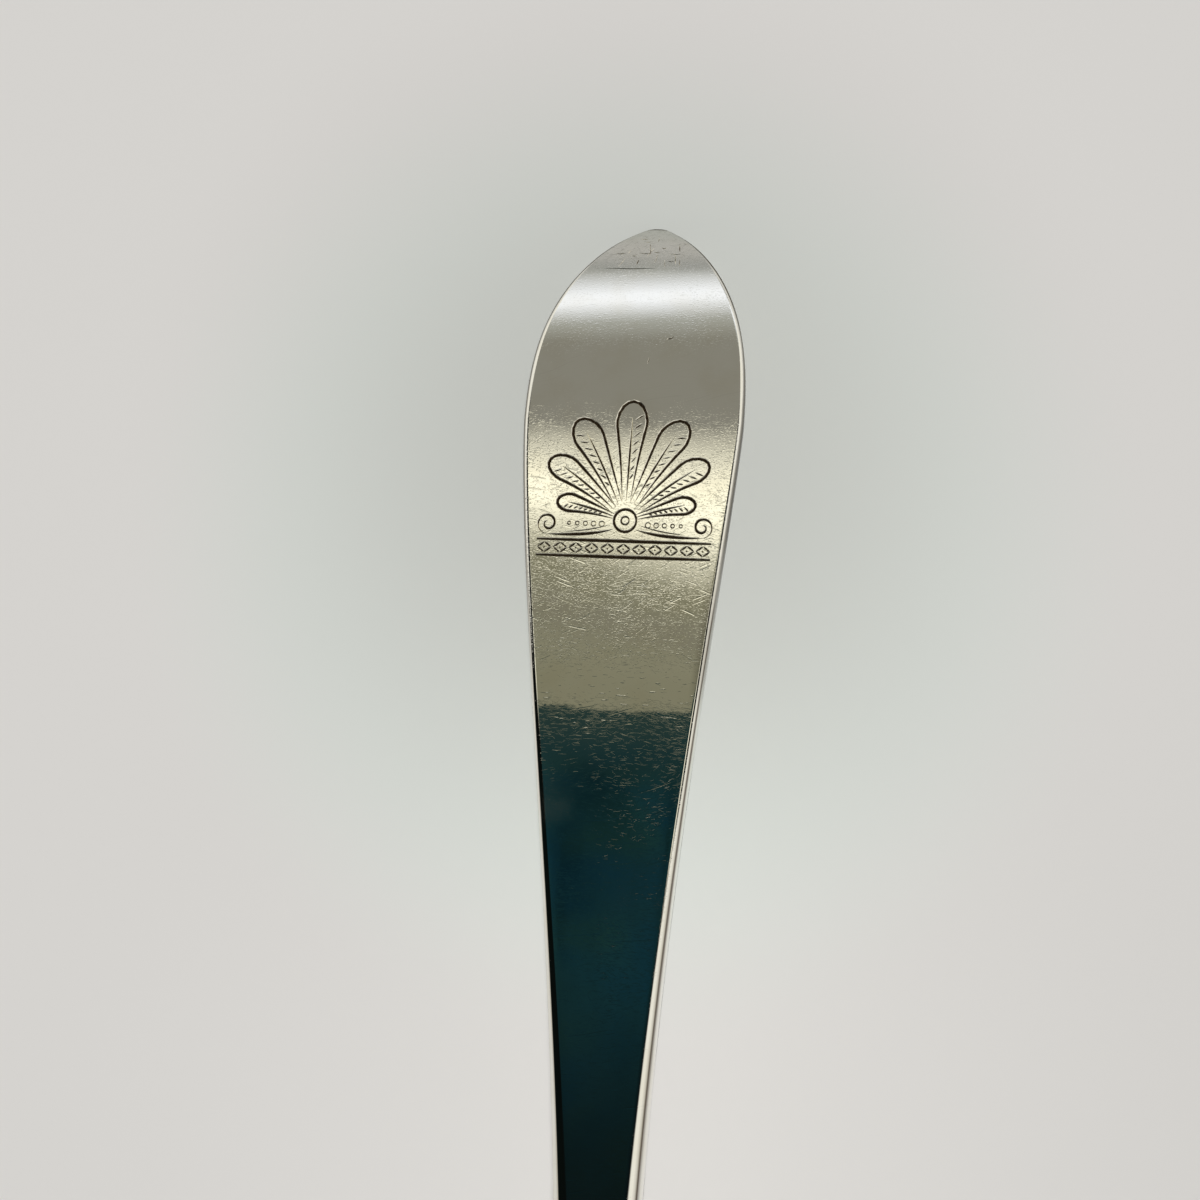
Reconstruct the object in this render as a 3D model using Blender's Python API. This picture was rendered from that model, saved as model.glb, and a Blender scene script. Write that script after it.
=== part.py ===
"""Dessert spoon with a broad pointed end that is turned down: bowl, stem and drop, soldered together."""

import math

import bmesh
import bpy
from mathutils import Vector

MM = 0.001

# Whole spoon
HANDLE_LENGTH = 116.0 * MM  # heel of the bowl to the tip of the handle, seen from above
JOINT_GAP = 0.2 * MM  # solder gap between two pieces

# Bowl
BOWL_LENGTH = 60.0 * MM
BOWL_WIDTH = 38.0 * MM
BOWL_WALL = 1.0 * MM
RIM_HEIGHT = 9.6 * MM  # at the front of the bowl
HEEL_HEIGHT = 11.0 * MM  # rim and front of the stem, where they meet
DEEPEST_FROM_FRONT = 33.0 * MM
REST_FLAT_LENGTH = 8.0 * MM  # flat worn on the underside
EGG = 0.13  # how much fuller the heel end is than the front end
CURL = 0.9  # how steeply the sides turn up: 0 is shallow, 1 is upright

# Stem
TERMINAL_WIDTH = 16.7 * MM
TERMINAL_LENGTH = 15.8 * MM  # tip to the widest place
TERMINAL_BELLY = 2.6  # how soon the outline fills out
TERMINAL_POINT = 1.48  # 1 is a sharp point, 2 a round end
NECK_WIDTH = 5.7 * MM
NECK_FROM_TIP = 95.0 * MM
TAPER_START = 1.27  # how slowly the taper sets in
TAPER_END = 2.2  # how slowly it fades out
ARCH_HEIGHT = 15.5 * MM  # front of the stem at the top of the arch
ARCH_FROM_TIP = 72.0 * MM
TIP_TURN = 6.5 * MM  # height lost in the quick turn down at the tip
TIP_ANGLE = math.radians(50.0)  # slope of the front at the very tip
TIP_THICKNESS = 1.25 * MM
NECK_THICKNESS = 3.9 * MM
TIP_EDGE = 0.36 * MM  # width of the rounding beside the flat front
NECK_EDGE = 0.6 * MM
TIP_BACK_EDGE = 0.8 * MM  # width of the rounding beside the flat back
NECK_BACK_EDGE = 2.4 * MM
TIP_WEAR = 0.08 * MM  # metal worn off where the tip touches the table
SHOULDER = 2.4 * MM  # how far the foot of the stem spreads on each side
SHOULDER_LENGTH = 1.5 * MM
FOOT_LENGTH = 5.0 * MM  # how far the foot reaches under the bowl

# Drop
DROP_LENGTH = 9.0 * MM
DROP_WIDTH = 6.0 * MM
DROP_THICKNESS = 0.8 * MM

# Fineness of the meshes
BOWL_STEPS = 56
RING_STEPS = 11
TIP_STEPS = 16
SHAFT_STEPS = 30
SHOULDER_STEPS = 9
EDGE_STEPS = 4

TIP_Y = (BOWL_LENGTH + HANDLE_LENGTH) / 2
HEEL_Y = TIP_Y - HANDLE_LENGTH
FRONT_Y = -TIP_Y
FOOT_Y = HEEL_Y - FOOT_LENGTH


def clear_scene():
    for old in list(bpy.data.objects):
        bpy.data.objects.remove(old, do_unlink=True)


def silver(name):
    """Polished silver of its own for one piece."""
    material = bpy.data.materials.new(name)
    material.use_nodes = True
    shader = material.node_tree.nodes["Principled BSDF"]
    shader.inputs["Base Color"].default_value = (0.93, 0.92, 0.88, 1.0)
    shader.inputs["Metallic"].default_value = 1.0
    shader.inputs["Roughness"].default_value = 0.18
    return material


def loft(name, rings):
    """A closed mesh through rings of equally many points, with a cap at each end."""
    bm = bmesh.new()
    loops = [[bm.verts.new(point) for point in ring] for ring in rings]
    for near, far in zip(loops, loops[1:]):
        for i, corner in enumerate(near):
            j = (i + 1) % len(near)
            bm.faces.new((corner, near[j], far[j], far[i]))
    bm.faces.new(loops[0])
    bm.faces.new(loops[-1])
    bmesh.ops.recalc_face_normals(bm, faces=bm.faces)
    mesh = bpy.data.meshes.new(name)
    bm.to_mesh(mesh)
    bm.free()
    piece = bpy.data.objects.new(name, mesh)
    bpy.context.scene.collection.objects.link(piece)
    return piece


def finish(piece):
    """Gives a piece its material and a smooth surface with crisp edges."""
    piece.data.materials.append(silver(piece.name + "_silver"))
    piece.data.shade_smooth()
    piece.data.set_sharp_from_angle(angle=math.radians(40))


def hide(cutter):
    cutter.hide_render = True
    cutter.display_type = "WIRE"


def combine(piece, operation, other):
    modifier = piece.modifiers.new(operation.lower() + "_" + other.name, "BOOLEAN")
    modifier.operation = operation
    modifier.solver = "EXACT"
    modifier.object = other


def blend(start, end, share):
    return start + (end - start) * share


def egg(angle):
    """Half-width of an egg one unit wide; the angle runs from the front of the bowl to its heel."""
    return math.sin(angle) * (1 - EGG * math.cos(angle))


EGG_WIDEST = max(egg(math.pi * i / 400) for i in range(401))


def arc(share):
    """Height of a curled-up side, 0 at the deepest place and 1 at the rim."""
    return (1 - math.sqrt(1 - (CURL * share) ** 2)) / (1 - math.sqrt(1 - CURL**2))


def bowl_ring(share, grow):
    """One ring of the bowl's surface, at a share of the way from the deepest place to the rim.

    The surface lies outside the bowl's outer one by grow.
    """
    flat = REST_FLAT_LENGTH / BOWL_LENGTH
    rise = (arc(share) - arc(flat)) / (1 - arc(flat))
    deepest = Vector((0, FRONT_Y + DEEPEST_FROM_FRONT, 0))
    ring = []
    for i in range(BOWL_STEPS):
        angle = 2 * math.pi * i / BOWL_STEPS
        along = (1 - math.cos(angle)) / 2
        x = egg(angle) / EGG_WIDEST * (BOWL_WIDTH / 2 + grow)
        y = FRONT_Y - grow + along * (BOWL_LENGTH + 2 * grow)
        rim = blend(RIM_HEIGHT, HEEL_HEIGHT, along**3)
        point = deepest.lerp(Vector((x, y, 0)), share)
        point.z = blend(-grow, rim, rise)
        ring.append(point)
    return ring


def bowl_rings(grow):
    flat = REST_FLAT_LENGTH / BOWL_LENGTH
    shares = [blend(flat, 1, math.sin(math.pi / 2 * i / RING_STEPS)) for i in range(RING_STEPS + 1)]
    return [bowl_ring(share, grow) for share in shares]


def filled_bowl(name, grow):
    """The bowl's outside as a solid that carries on upwards past the rim."""
    rings = bowl_rings(grow)
    rings.append([point + Vector((0, 0, ARCH_HEIGHT)) for point in rings[-1]])
    solid = loft(name, rings)
    hide(solid)
    return solid


def box(name, low, high):
    corners = [(low[0], low[1]), (high[0], low[1]), (high[0], high[1]), (low[0], high[1])]
    solid = loft(name, [[(x, y, z) for x, y in corners] for z in (low[2], high[2])])
    hide(solid)
    return solid


def tip_height():
    """Height of the front line at the tip that brings the rounded tip down to the table."""
    half = TIP_THICKNESS / 2 * math.cos(TIP_ANGLE)
    back = TIP_EDGE * math.tan(TIP_ANGLE)
    return half - back + math.hypot(half, back) - TIP_WEAR


def tip_reach():
    """How far the front line runs past the rounded tip, seen from above."""
    half = TIP_THICKNESS / 2 * math.sin(TIP_ANGLE)
    return half + TIP_EDGE - math.hypot(half, TIP_EDGE)


FALL = ARCH_HEIGHT - TIP_TURN - tip_height()
TURN_LENGTH = TIP_TURN / (math.tan(TIP_ANGLE) - 3 * FALL / ARCH_FROM_TIP)


def front_line(d):
    """Height and slope of the stem's front at a distance d from the tip, seen from above."""
    side = 1 - d / ARCH_FROM_TIP
    if side > 0:
        turn = TIP_TURN * math.exp(-d / TURN_LENGTH)
        height = ARCH_HEIGHT - FALL * side**3 - turn
        slope = 3 * FALL / ARCH_FROM_TIP * side**2 + turn / TURN_LENGTH
        return height, slope
    span = HANDLE_LENGTH - ARCH_FROM_TIP
    side = (d - ARCH_FROM_TIP) / span
    rise = ARCH_HEIGHT - HEEL_HEIGHT
    return ARCH_HEIGHT - rise * side**3, -3 * rise / span * side**2


def shoulder(d):
    """How far the front of the stem spreads on each side, most where the bowl's rim hides it."""
    return SHOULDER / math.cosh((d - HANDLE_LENGTH) / SHOULDER_LENGTH - 1)


def half_width(d):
    if d < TERMINAL_LENGTH:
        left = 1 - d / TERMINAL_LENGTH
        return TERMINAL_WIDTH / 2 * (1 - left**TERMINAL_BELLY) ** (1 / TERMINAL_POINT)
    done = min(1, (d - TERMINAL_LENGTH) / (NECK_FROM_TIP - TERMINAL_LENGTH))
    return blend(NECK_WIDTH / 2, TERMINAL_WIDTH / 2, (1 - done**TAPER_START) ** TAPER_END)


def stem_section(d):
    """Points round the stem, square to its front line, at a distance d from the tip."""
    height, slope = front_line(d)
    up = Vector((0, slope, 1)).normalized()
    front = Vector((0, TIP_Y + tip_reach() - d, height))
    share = min(1, d / NECK_FROM_TIP)
    half = half_width(d)
    thickness = blend(TIP_THICKNESS, NECK_THICKNESS, share)
    edge = min(blend(TIP_EDGE, NECK_EDGE, share), 0.8 * half)
    back_edge = min(blend(TIP_BACK_EDGE, NECK_BACK_EDGE, share), 0.9 * half)
    full = thickness / 2 * math.sqrt(1 - max(0, 1 - d / TIP_EDGE) ** 2)
    side = []
    for i in range(EDGE_STEPS + 1):
        turn = math.pi / 2 * i / EDGE_STEPS
        side.append((half - edge + edge * math.sin(turn), thickness / 2 - full * math.cos(turn)))
    for i in range(1, EDGE_STEPS + 1):
        turn = math.pi / 2 * i / EDGE_STEPS
        side.append((half - back_edge + back_edge * math.cos(turn), thickness / 2 + full * math.sin(turn)))
    side = [(x + shoulder(d) * (1 - depth / thickness) ** 2, depth) for x, depth in side]
    points = side + [(-x, depth) for x, depth in reversed(side)]
    return [front + Vector((x, 0, 0)) - up * depth for x, depth in points]


def stem_stations():
    """Distances from the tip: close together at the tip and at the spreading foot."""
    spread = HANDLE_LENGTH - 4 * SHOULDER_LENGTH
    end = HANDLE_LENGTH + FOOT_LENGTH + NECK_THICKNESS
    tip = [TERMINAL_LENGTH * (i / TIP_STEPS) ** 2.2 for i in range(1, TIP_STEPS)]
    shaft = [blend(TERMINAL_LENGTH, spread, i / SHAFT_STEPS) for i in range(SHAFT_STEPS)]
    foot = [blend(spread, HANDLE_LENGTH, i / SHOULDER_STEPS) for i in range(SHOULDER_STEPS)]
    under = [blend(HANDLE_LENGTH, end, i / SHOULDER_STEPS) for i in range(SHOULDER_STEPS + 1)]
    return tip + shaft + foot + under


def tongue(name):
    """An upright prism with the outline of the drop: straight sides and a round end."""
    start = FOOT_Y - JOINT_GAP
    radius = DROP_WIDTH / 2
    end = start - DROP_LENGTH + radius
    outline = [(-radius, start), (radius, start)]
    for i in range(15):
        turn = math.pi * i / 14
        outline.append((radius * math.cos(turn), end - radius * math.sin(turn)))
    return loft(name, [[(x, y, z) for x, y in outline] for z in (-ARCH_HEIGHT, HEEL_HEIGHT)])


clear_scene()

outside = bowl_rings(0)
inside = bowl_rings(-BOWL_WALL)
bowl = loft("bowl", outside + inside[::-1])
finish(bowl)

seat = filled_bowl("seat_cutter", JOINT_GAP)

stem = loft("stem", [stem_section(d) for d in stem_stations()])
reach = BOWL_LENGTH + HANDLE_LENGTH
behind = box("behind_cutter", (-reach, -reach, -reach), (reach, FOOT_Y, reach))
table = box("table_cutter", (-reach, -reach, -reach), (reach, reach, 0))
combine(stem, "DIFFERENCE", seat)
combine(stem, "DIFFERENCE", behind)
combine(stem, "DIFFERENCE", table)
finish(stem)

drop = tongue("drop")
skin = filled_bowl("skin_cutter", JOINT_GAP + DROP_THICKNESS)
combine(drop, "INTERSECT", skin)
combine(drop, "DIFFERENCE", seat)
finish(drop)
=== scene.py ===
# %% [markdown]
# # A silver dessert spoon
# This lesson dresses a imported model of a spoon: an egg-shaped bowl, an arched stem with a broad, pointed
# end that is turned down to the table, and the drop, a small tongue that strengthens the joint on the back
# of the bowl. The imported model gives the frame, in metres. It is loaded first.

# %% Load the imported spoon
import random
from math import cos, cosh, exp, hypot, pi, radians, sin, sqrt, tan

import bpy
import numpy as np
from mathutils import Matrix, Vector


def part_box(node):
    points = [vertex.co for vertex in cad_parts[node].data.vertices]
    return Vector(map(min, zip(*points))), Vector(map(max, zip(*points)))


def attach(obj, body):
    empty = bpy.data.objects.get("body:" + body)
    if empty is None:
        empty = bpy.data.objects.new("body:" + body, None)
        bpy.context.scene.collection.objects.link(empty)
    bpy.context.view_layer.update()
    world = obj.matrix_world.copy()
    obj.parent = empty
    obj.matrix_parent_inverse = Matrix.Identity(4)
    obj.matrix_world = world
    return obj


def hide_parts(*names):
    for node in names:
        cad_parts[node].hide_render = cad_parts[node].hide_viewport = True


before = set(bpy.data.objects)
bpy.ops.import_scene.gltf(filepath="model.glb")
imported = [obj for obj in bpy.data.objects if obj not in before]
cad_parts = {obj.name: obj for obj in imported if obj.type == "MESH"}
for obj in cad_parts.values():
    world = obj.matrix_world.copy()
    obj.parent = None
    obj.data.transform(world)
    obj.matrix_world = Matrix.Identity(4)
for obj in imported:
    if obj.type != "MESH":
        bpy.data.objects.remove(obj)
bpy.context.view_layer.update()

MM = 0.001
scene = bpy.context.scene


def in_scene(name, data):
    """A new object, linked to the scene."""
    thing = bpy.data.objects.new(name, data)
    scene.collection.objects.link(thing)
    return thing


# %% [markdown]
# ## The camera
# The spoon is seen almost straight from above, a little from its right, and only the upper handle is in the
# picture. A constraint could aim the camera, but a matrix made from three directions shows plainly what is
# going on: where back points, where up points, and a small turn in the plane of the picture.

# %% Camera above the handle
LEAN = radians(9.0)  # to the right of straight above
TWIST = radians(2.05)  # turn in the plane of the picture
DISTANCE = 240.0 * MM
FIELD = 90.9 * MM  # width of the picture at that distance
AIM_ACROSS = -2.08 * MM
AIM_FROM_TIP = 29.27 * MM
AIM_HEIGHT = 10.0 * MM

tip_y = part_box("stem")[1][1]
aim = Vector((AIM_ACROSS, tip_y - AIM_FROM_TIP, AIM_HEIGHT))
back = Vector((sin(LEAN), 0.0, cos(LEAN)))
right = Vector((0.0, 1.0, 0.0)).cross(back).normalized()
up = back.cross(right)
turned_right = right * cos(TWIST) + up * sin(TWIST)
turned_up = up * cos(TWIST) - right * sin(TWIST)

lens = bpy.data.cameras.new("lens")
lens.sensor_width = 36.0
lens.lens = lens.sensor_width * DISTANCE / FIELD
lens.clip_start = 0.01
camera = in_scene("camera", lens)
facing = Matrix((turned_right, turned_up, back)).transposed().to_4x4()
camera.matrix_world = Matrix.Translation(aim + back * DISTANCE) @ facing
scene.camera = camera
print("camera at, mm:", [round(v / MM, 1) for v in camera.location], "lens", round(lens.lens, 1), "mm")

# %% [markdown]
# ## Small helpers for nodes
# Both the finishes and the shapes below are made with nodes. Each step adds one node, sets its options and
# feeds its inputs, so that a tree reads as a list of steps. Sums with what nodes give are written as on
# paper, and put Math nodes into the tree.

# %% Node helpers
WHITE = (1, 1, 1, 1)


def feed(node, inputs):
    """What comes from another node is joined to an input, and anything else is set."""
    for name, value in inputs.items():
        source = getattr(value, "socket", value)
        if isinstance(source, bpy.types.NodeSocket):
            node.id_data.links.new(source, node.inputs[name])
        else:
            node.inputs[name].default_value = source


class Step:
    """One node, with its options set and its inputs fed. Step(...)["Normal"] is a value that it gives."""

    def __init__(self, tree, kind, inputs=None, **options):
        self.node = tree.nodes.new(kind)
        for option, value in options.items():
            setattr(self.node, option, value)
        feed(self.node, inputs or {})

    def __getitem__(self, name):
        return Value(self.node.outputs[name])


class Value:
    """What a node gives. Sums such as 1 - value * 2 add Math nodes, and math() adds their other kinds."""

    def __init__(self, socket):
        self.socket, self.tree = socket, socket.id_data

    def math(self, operation, *others):
        return math_node(self.tree, operation, self, *others)

    def mapped(self, low, high, to_low=0.0, to_high=1.0, way="SMOOTHSTEP"):
        """Mapped from low..high and held at both ends. A SMOOTHSTEP starts and ends softly."""
        inputs = {"Value": self, "From Min": low, "From Max": high, "To Min": to_low, "To Max": to_high}
        return Step(self.tree, "ShaderNodeMapRange", inputs, interpolation_type=way)["Result"]


def math_node(tree, operation, *values):
    return Step(tree, "ShaderNodeMath", dict(enumerate(values)), operation=operation)[0]


SIGNS = {"add": "ADD", "sub": "SUBTRACT", "mul": "MULTIPLY", "truediv": "DIVIDE", "pow": "POWER"}
for sign, kind in SIGNS.items():
    setattr(Value, f"__{sign}__", lambda self, other, kind=kind: math_node(self.tree, kind, self, other))
    setattr(Value, f"__r{sign}__", lambda self, other, kind=kind: math_node(self.tree, kind, other, self))


def axes_of(vector):
    parts = Step(vector.tree, "ShaderNodeSeparateXYZ", {"Vector": vector})
    return [parts[axis] for axis in "XYZ"]


def new_group(name, kind, inputs, output):
    """A tree of nodes with named inputs and an output, each with its type, and what it is given."""
    tree = bpy.data.node_groups.new(name, kind)
    for way, sockets in (("INPUT", inputs), ("OUTPUT", output)):
        for title, socket in sockets.items():
            tree.interface.new_socket(title, in_out=way, socket_type="NodeSocket" + socket)
    return tree, {socket.name: Value(socket) for socket in tree.nodes.new("NodeGroupInput").outputs}


def ramped(value, low, high, stops):
    """Colour at a value, on straight lines through stops of (place, colour) from low to high."""
    ramp = Step(value.tree, "ShaderNodeValToRGB", {"Fac": value.mapped(low, high, way="LINEAR")})
    elements = ramp.node.color_ramp.elements
    elements.remove(elements[-1])
    shares = [(place - low) / (high - low) for place, colour in stops]
    elements[0].position, elements[0].color = shares[0], stops[0][1]
    for share, (place, colour) in zip(shares[1:], stops[1:]):
        elements.new(share).color = colour
    return ramp["Color"]


def mixed(share, first, second):
    """The first colour where share is 0 and the second where it is 1."""
    inputs = {"Factor": share, "A": first, "B": second}
    tree = next(value.tree for value in inputs.values() if isinstance(value, Value))
    return Step(tree, "ShaderNodeMix", inputs, data_type="RGBA")["Result"]


def tinted(colour, tint):
    return Step(colour.tree, "ShaderNodeVectorMath", {0: colour, 1: tint}, operation="MULTIPLY")[0]


def noise(place, scale, detail, stretch=(1, 1, 1), shift=0.0):
    """Cloudy noise, read at a place that is stretched on each axis and shifted."""
    moves = {"Vector": place, "Scale": stretch, "Location": (shift, 0, 0)}
    moved = Step(place.tree, "ShaderNodeMapping", moves)["Vector"]
    inputs = {"Vector": moved, "Scale": scale, "Detail": detail}
    return Step(place.tree, "ShaderNodeTexNoise", inputs)["Fac"]


def srgb(red, green, blue):
    """A colour read off a screen, 0 to 255, as the linear light that Blender counts in."""
    parts = [part / 255 for part in (red, green, blue)]
    return (*[((part + 0.055) / 1.055) ** 2.4 if part > 0.04 else part / 12.92 for part in parts], 1.0)


print("half grey on a screen is", round(srgb(128, 128, 128)[0], 3), "in linear light")

# %% [markdown]
# ## The room
# Polished silver has hardly any colour of its own: what is seen on it is the room, so the room is designed
# before the metal. Straight above hangs a dark cloth, where whoever looks at the spoon would stand. Beyond
# it, over the tip of the handle, come a dull ceiling, a warm lamp, a grey wall and a bright window low
# down. Panels of mesh would hide the spoon from a camera that moves behind them, so the room is painted on
# the sky: one angle tips from straight above towards the tip, and another measures how far from straight
# above a direction points, for what stands at the sides. A colour ramp is kept in Blender as 256 steps, too
# few for a crisp edge, so the hem of the cloth is a blend of two ramps.

# %% Bands of the room
CLOTH_BANDS = (  # what hangs between two angles, in degrees from straight above towards the tip
    (-70, -66, srgb(120, 120, 115)),  # wall behind
    (-56, -46, srgb(222, 221, 214)),  # bright screen in front of it
    (-38, -35, srgb(140, 140, 134)),  # its edge
    (-28, -12, srgb(9, 16, 18)),  # shadow beyond the cloth
    (-5, 3.6, srgb(15, 41, 47)),  # dark cloth
    (5.0, 5.4, srgb(24, 47, 49)),  # its lit edge
    (6.9, 9.0, srgb(36, 54, 52)),  # its hem
)
HEM = 8.02  # where the cloth ends
HEM_BLUR = 0.05
BANDS = (  # what hangs beyond it
    (7.0, 10.0, srgb(126, 124, 104)),  # dull ceiling, with three stripes
    (11.4, 12.4, srgb(131, 129, 109)),
    (13.6, 15.0, srgb(122, 119, 104)),
    (16.4, 18.3, srgb(126, 124, 104)),
    (25.5, 28.7, srgb(272, 267, 243)),  # warm lamp
    (38.4, 58.7, srgb(132, 130, 121)),  # grey wall
    (64.8, 65.2, srgb(163, 164, 158)),  # top of that wall
    (72.4, 75.3, srgb(250, 253, 260)),  # window
    (85.1, 100, srgb(167, 168, 164)),  # table's edge
)
DARK, SCREEN = srgb(10, 14, 14), srgb(236, 233, 224)  # dark cloth and white screen
SIDES = (  # what stands at either side, in degrees from straight above
    (0, 13, srgb(10, 16, 16)),  # dark cloth
    (15.5, 24.5, srgb(240, 236, 216)),  # a gap in it
    (28, 46, DARK),
    (56, 88, SCREEN),
)
LOW_SCREEN = (  # the same further down the handle, where the cloth has no gap
    (0, 23, DARK),
    (33, 88, SCREEN),
)
LOW_CLOTH = (  # the left side below the neck of the spoon, where the cloth hangs lower
    (0, 74, srgb(8, 12, 11)),  # dark cloth
    (82, 90, srgb(190, 186, 178)),  # table's edge
)
CORNERS = (  # the corners of the room, past the bowl
    (0, 30, DARK),
    (42, 52, srgb(230, 228, 220)),  # white screen
    (64, 72, srgb(112, 112, 107)),  # wall
    (84, 90, srgb(196, 194, 188)),  # table's edge
)
RAMP_ANGLES = (-70, 110)  # degrees


def room_ramp(angle, bands):
    """Colour of the room at an angle: even inside each band and blended between bands."""
    stops = [(edge, colour) for start, end, colour in bands for edge in (start, end)]
    return ramped(angle, *RAMP_ANGLES, stops)


print("the room has", len(CLOTH_BANDS + BANDS), "bands lengthways and", len(SIDES), "sideways")

# %% [markdown]
# Each part of the room gives way to the next over a short stretch of one axis of the direction: X across
# the spoon, Y along it and Z up.

# %% Room painted on the sky
SIDE_START = (0.25, 0.30)  # X, either way
LEFT = (0.05, -0.05)  # X
NECK = (0.16, 0.08)  # Y
GAP_END = (-0.04, -0.09)  # Y
CORNER_START = (-0.32, -0.45)  # Y

sky = bpy.data.worlds.new("room")
sky.use_nodes = True
scene.world = sky
tree = sky.node_tree
tree.nodes.clear()
direction = Step(tree, "ShaderNodeTexCoord")["Generated"]
x, y, z = axes_of(direction)
tipped = y.math("ARCTAN2", z).math("DEGREES")
from_zenith = z.math("ARCCOSINE").math("DEGREES")

past_hem = tipped.mapped(HEM - HEM_BLUR, HEM + HEM_BLUR)
cloth, beyond = (room_ramp(tipped, bands) for bands in (CLOTH_BANDS, BANDS))
lengthways = mixed(past_hem, cloth, beyond)
past_gap = y.mapped(*GAP_END)
low_left = x.mapped(*LEFT) * y.mapped(*NECK)
in_corner = y.mapped(*CORNER_START)
sideways = room_ramp(from_zenith, SIDES)
for share, bands in ((past_gap, LOW_SCREEN), (low_left, LOW_CLOTH), (in_corner, CORNERS)):
    sideways = mixed(share, sideways, room_ramp(from_zenith, bands))
off_middle = x.math("ABSOLUTE").mapped(*SIDE_START)
room = mixed(off_middle, lengthways, sideways)
print("the room is painted with", len(tree.nodes), "nodes")

# %% [markdown]
# The cloth hangs in folds, and its dye has faded in spots. Only the metal is meant to show all this: a
# camera that looks past the table sees a plain backdrop, and matt things get only a small part of the
# room's light, so that their shadows come from a lamp.

# %% Folds, dye and backdrop
CLOTH_END = (0.10, 0.06)  # Y
CLOTH_START = (-0.5, -0.3)  # Y
CLOTH_LOWEST = (0.0, 0.2)  # Z
FOLDS, FOLD_EDGES = (1.0, 3.0, (40, 5, 1)), (0.3, 0.7)  # scale, detail and stretch of a noise, and its edges
FOLD_LIGHT = (0.7, 1.3)  # in the folds and on them
SPOTS, SPOT_EDGES = (1.0, 2.0, (26, 20, 1)), (0.35, 0.65)
COOL_DYE = (0.8, 0.92, 1.05, 1)
WARM_DYE = (1.3, 1.1, 0.85, 1)
BACKDROP = srgb(214, 213, 208)
ROOM_ON_TABLE = 0.2  # how much of the room lights matt things

in_cloth = off_middle.mapped(1.0, 0.0)
for axis, stretch in ((y, CLOTH_END), (y, CLOTH_START), (z, CLOTH_LOWEST)):
    in_cloth = in_cloth * axis.mapped(*stretch)
folded = noise(direction, *FOLDS).mapped(*FOLD_EDGES, *FOLD_LIGHT)
light = 1.0 + in_cloth * (folded - 1.0)
faded = noise(direction, *SPOTS).mapped(*SPOT_EDGES)
dye = mixed(in_cloth, WHITE, mixed(faded, COOL_DYE, WARM_DYE))
ray = Step(tree, "ShaderNodeLightPath")
seen = mixed(ray["Is Camera Ray"], tinted(room, dye), BACKDROP)
on_matt = ray["Is Diffuse Ray"].mapped(0.0, 1.0, 1.0, ROOM_ON_TABLE)
glow = Step(tree, "ShaderNodeBackground", {"Color": seen, "Strength": light * on_matt})
Step(tree, "ShaderNodeOutputWorld", {"Surface": glow["Background"]})
print("with folds, dye and backdrop,", len(tree.nodes), "nodes")

# %% [markdown]
# ## The table
# The table is a plain pale sheet, a little uneven in tone. Light and shade are painted into its colour:
# shade round the broad end of the handle, where whoever stands there keeps light off it, a faint green cast
# from the cloth near it, a brighter patch towards the bowl and a little shade on the right. One soft lamp,
# as far away as the sun, lights it evenly from above. It is kept out of the metal's mirror, as a
# photographer keeps a lamp out of sight.

# %% Table
scene.view_settings.view_transform = "Standard"
TABLE_REACH = 3.0
TABLE_CORNERS = ((-1, -1), (1, -1), (1, 1), (-1, 1))
PAPER_DARK = (0.72, 0.705, 0.68, 1)
PAPER_PALE = (0.75, 0.735, 0.715, 1)
PAPER_CLOUDS, PAPER_ROUGHNESS = (9.0, 3.0), 0.85
# Painted shade round the broad end of the handle, where light is kept off the table.
PAINTED_SHADE = (0.77, 0.755, 0.75, 1)
PAINTED_SHADE_PLACE, PAINTED_SHADE_REACH = (-2 * MM, tip_y - 16 * MM, 0), (0, 43 * MM)
# A painted green cast of light from the cloth.
PAINTED_GREEN_CAST = (0.98, 1.04, 1.02, 1)  # a faint cast from the cloth
PAINTED_GREEN_PLACE, PAINTED_GREEN_REACH = (-2 * MM, tip_y - 24 * MM, 0), (24 * MM, 42 * MM)
# A painted patch of light towards the bowl.
PAINTED_LIGHT_PLACE, PAINTED_LIGHT_REACH = (0, tip_y - 75 * MM, 0), (10 * MM, 50 * MM)
PAINTED_LIGHT = 1.04
# A little painted shade on the right.
PAINTED_RIGHT_SHADE_REACH, PAINTED_RIGHT_SHADE = (20 * MM, 60 * MM), 0.975  # a little dimmer on the right


def new_finish(name, metallic):
    """A material with its tree and its shader."""
    material = bpy.data.materials.new(name)
    material.use_nodes = True
    shader = material.node_tree.nodes["Principled BSDF"]
    feed(shader, {"Metallic": metallic})
    return material, material.node_tree, shader


table_mesh = bpy.data.meshes.new("table")
table_mesh.from_pydata([(x * TABLE_REACH, y * TABLE_REACH, 0) for x, y in TABLE_CORNERS], [], [(0, 1, 2, 3)])
table = in_scene("table", table_mesh)

paper, tree, shader = new_finish("pale_table", 0.0)
place = Step(tree, "ShaderNodeTexCoord")["Object"]


def around(spot, reach, inside=1.0, outside=0.0):
    """A value that changes with the distance from a spot on the table."""
    apart = Step(tree, "ShaderNodeVectorMath", {0: place, 1: spot}, operation="DISTANCE")["Value"]
    return apart.mapped(*reach, inside, outside)


tone = mixed(noise(place, *PAPER_CLOUDS), PAPER_DARK, PAPER_PALE)
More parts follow.
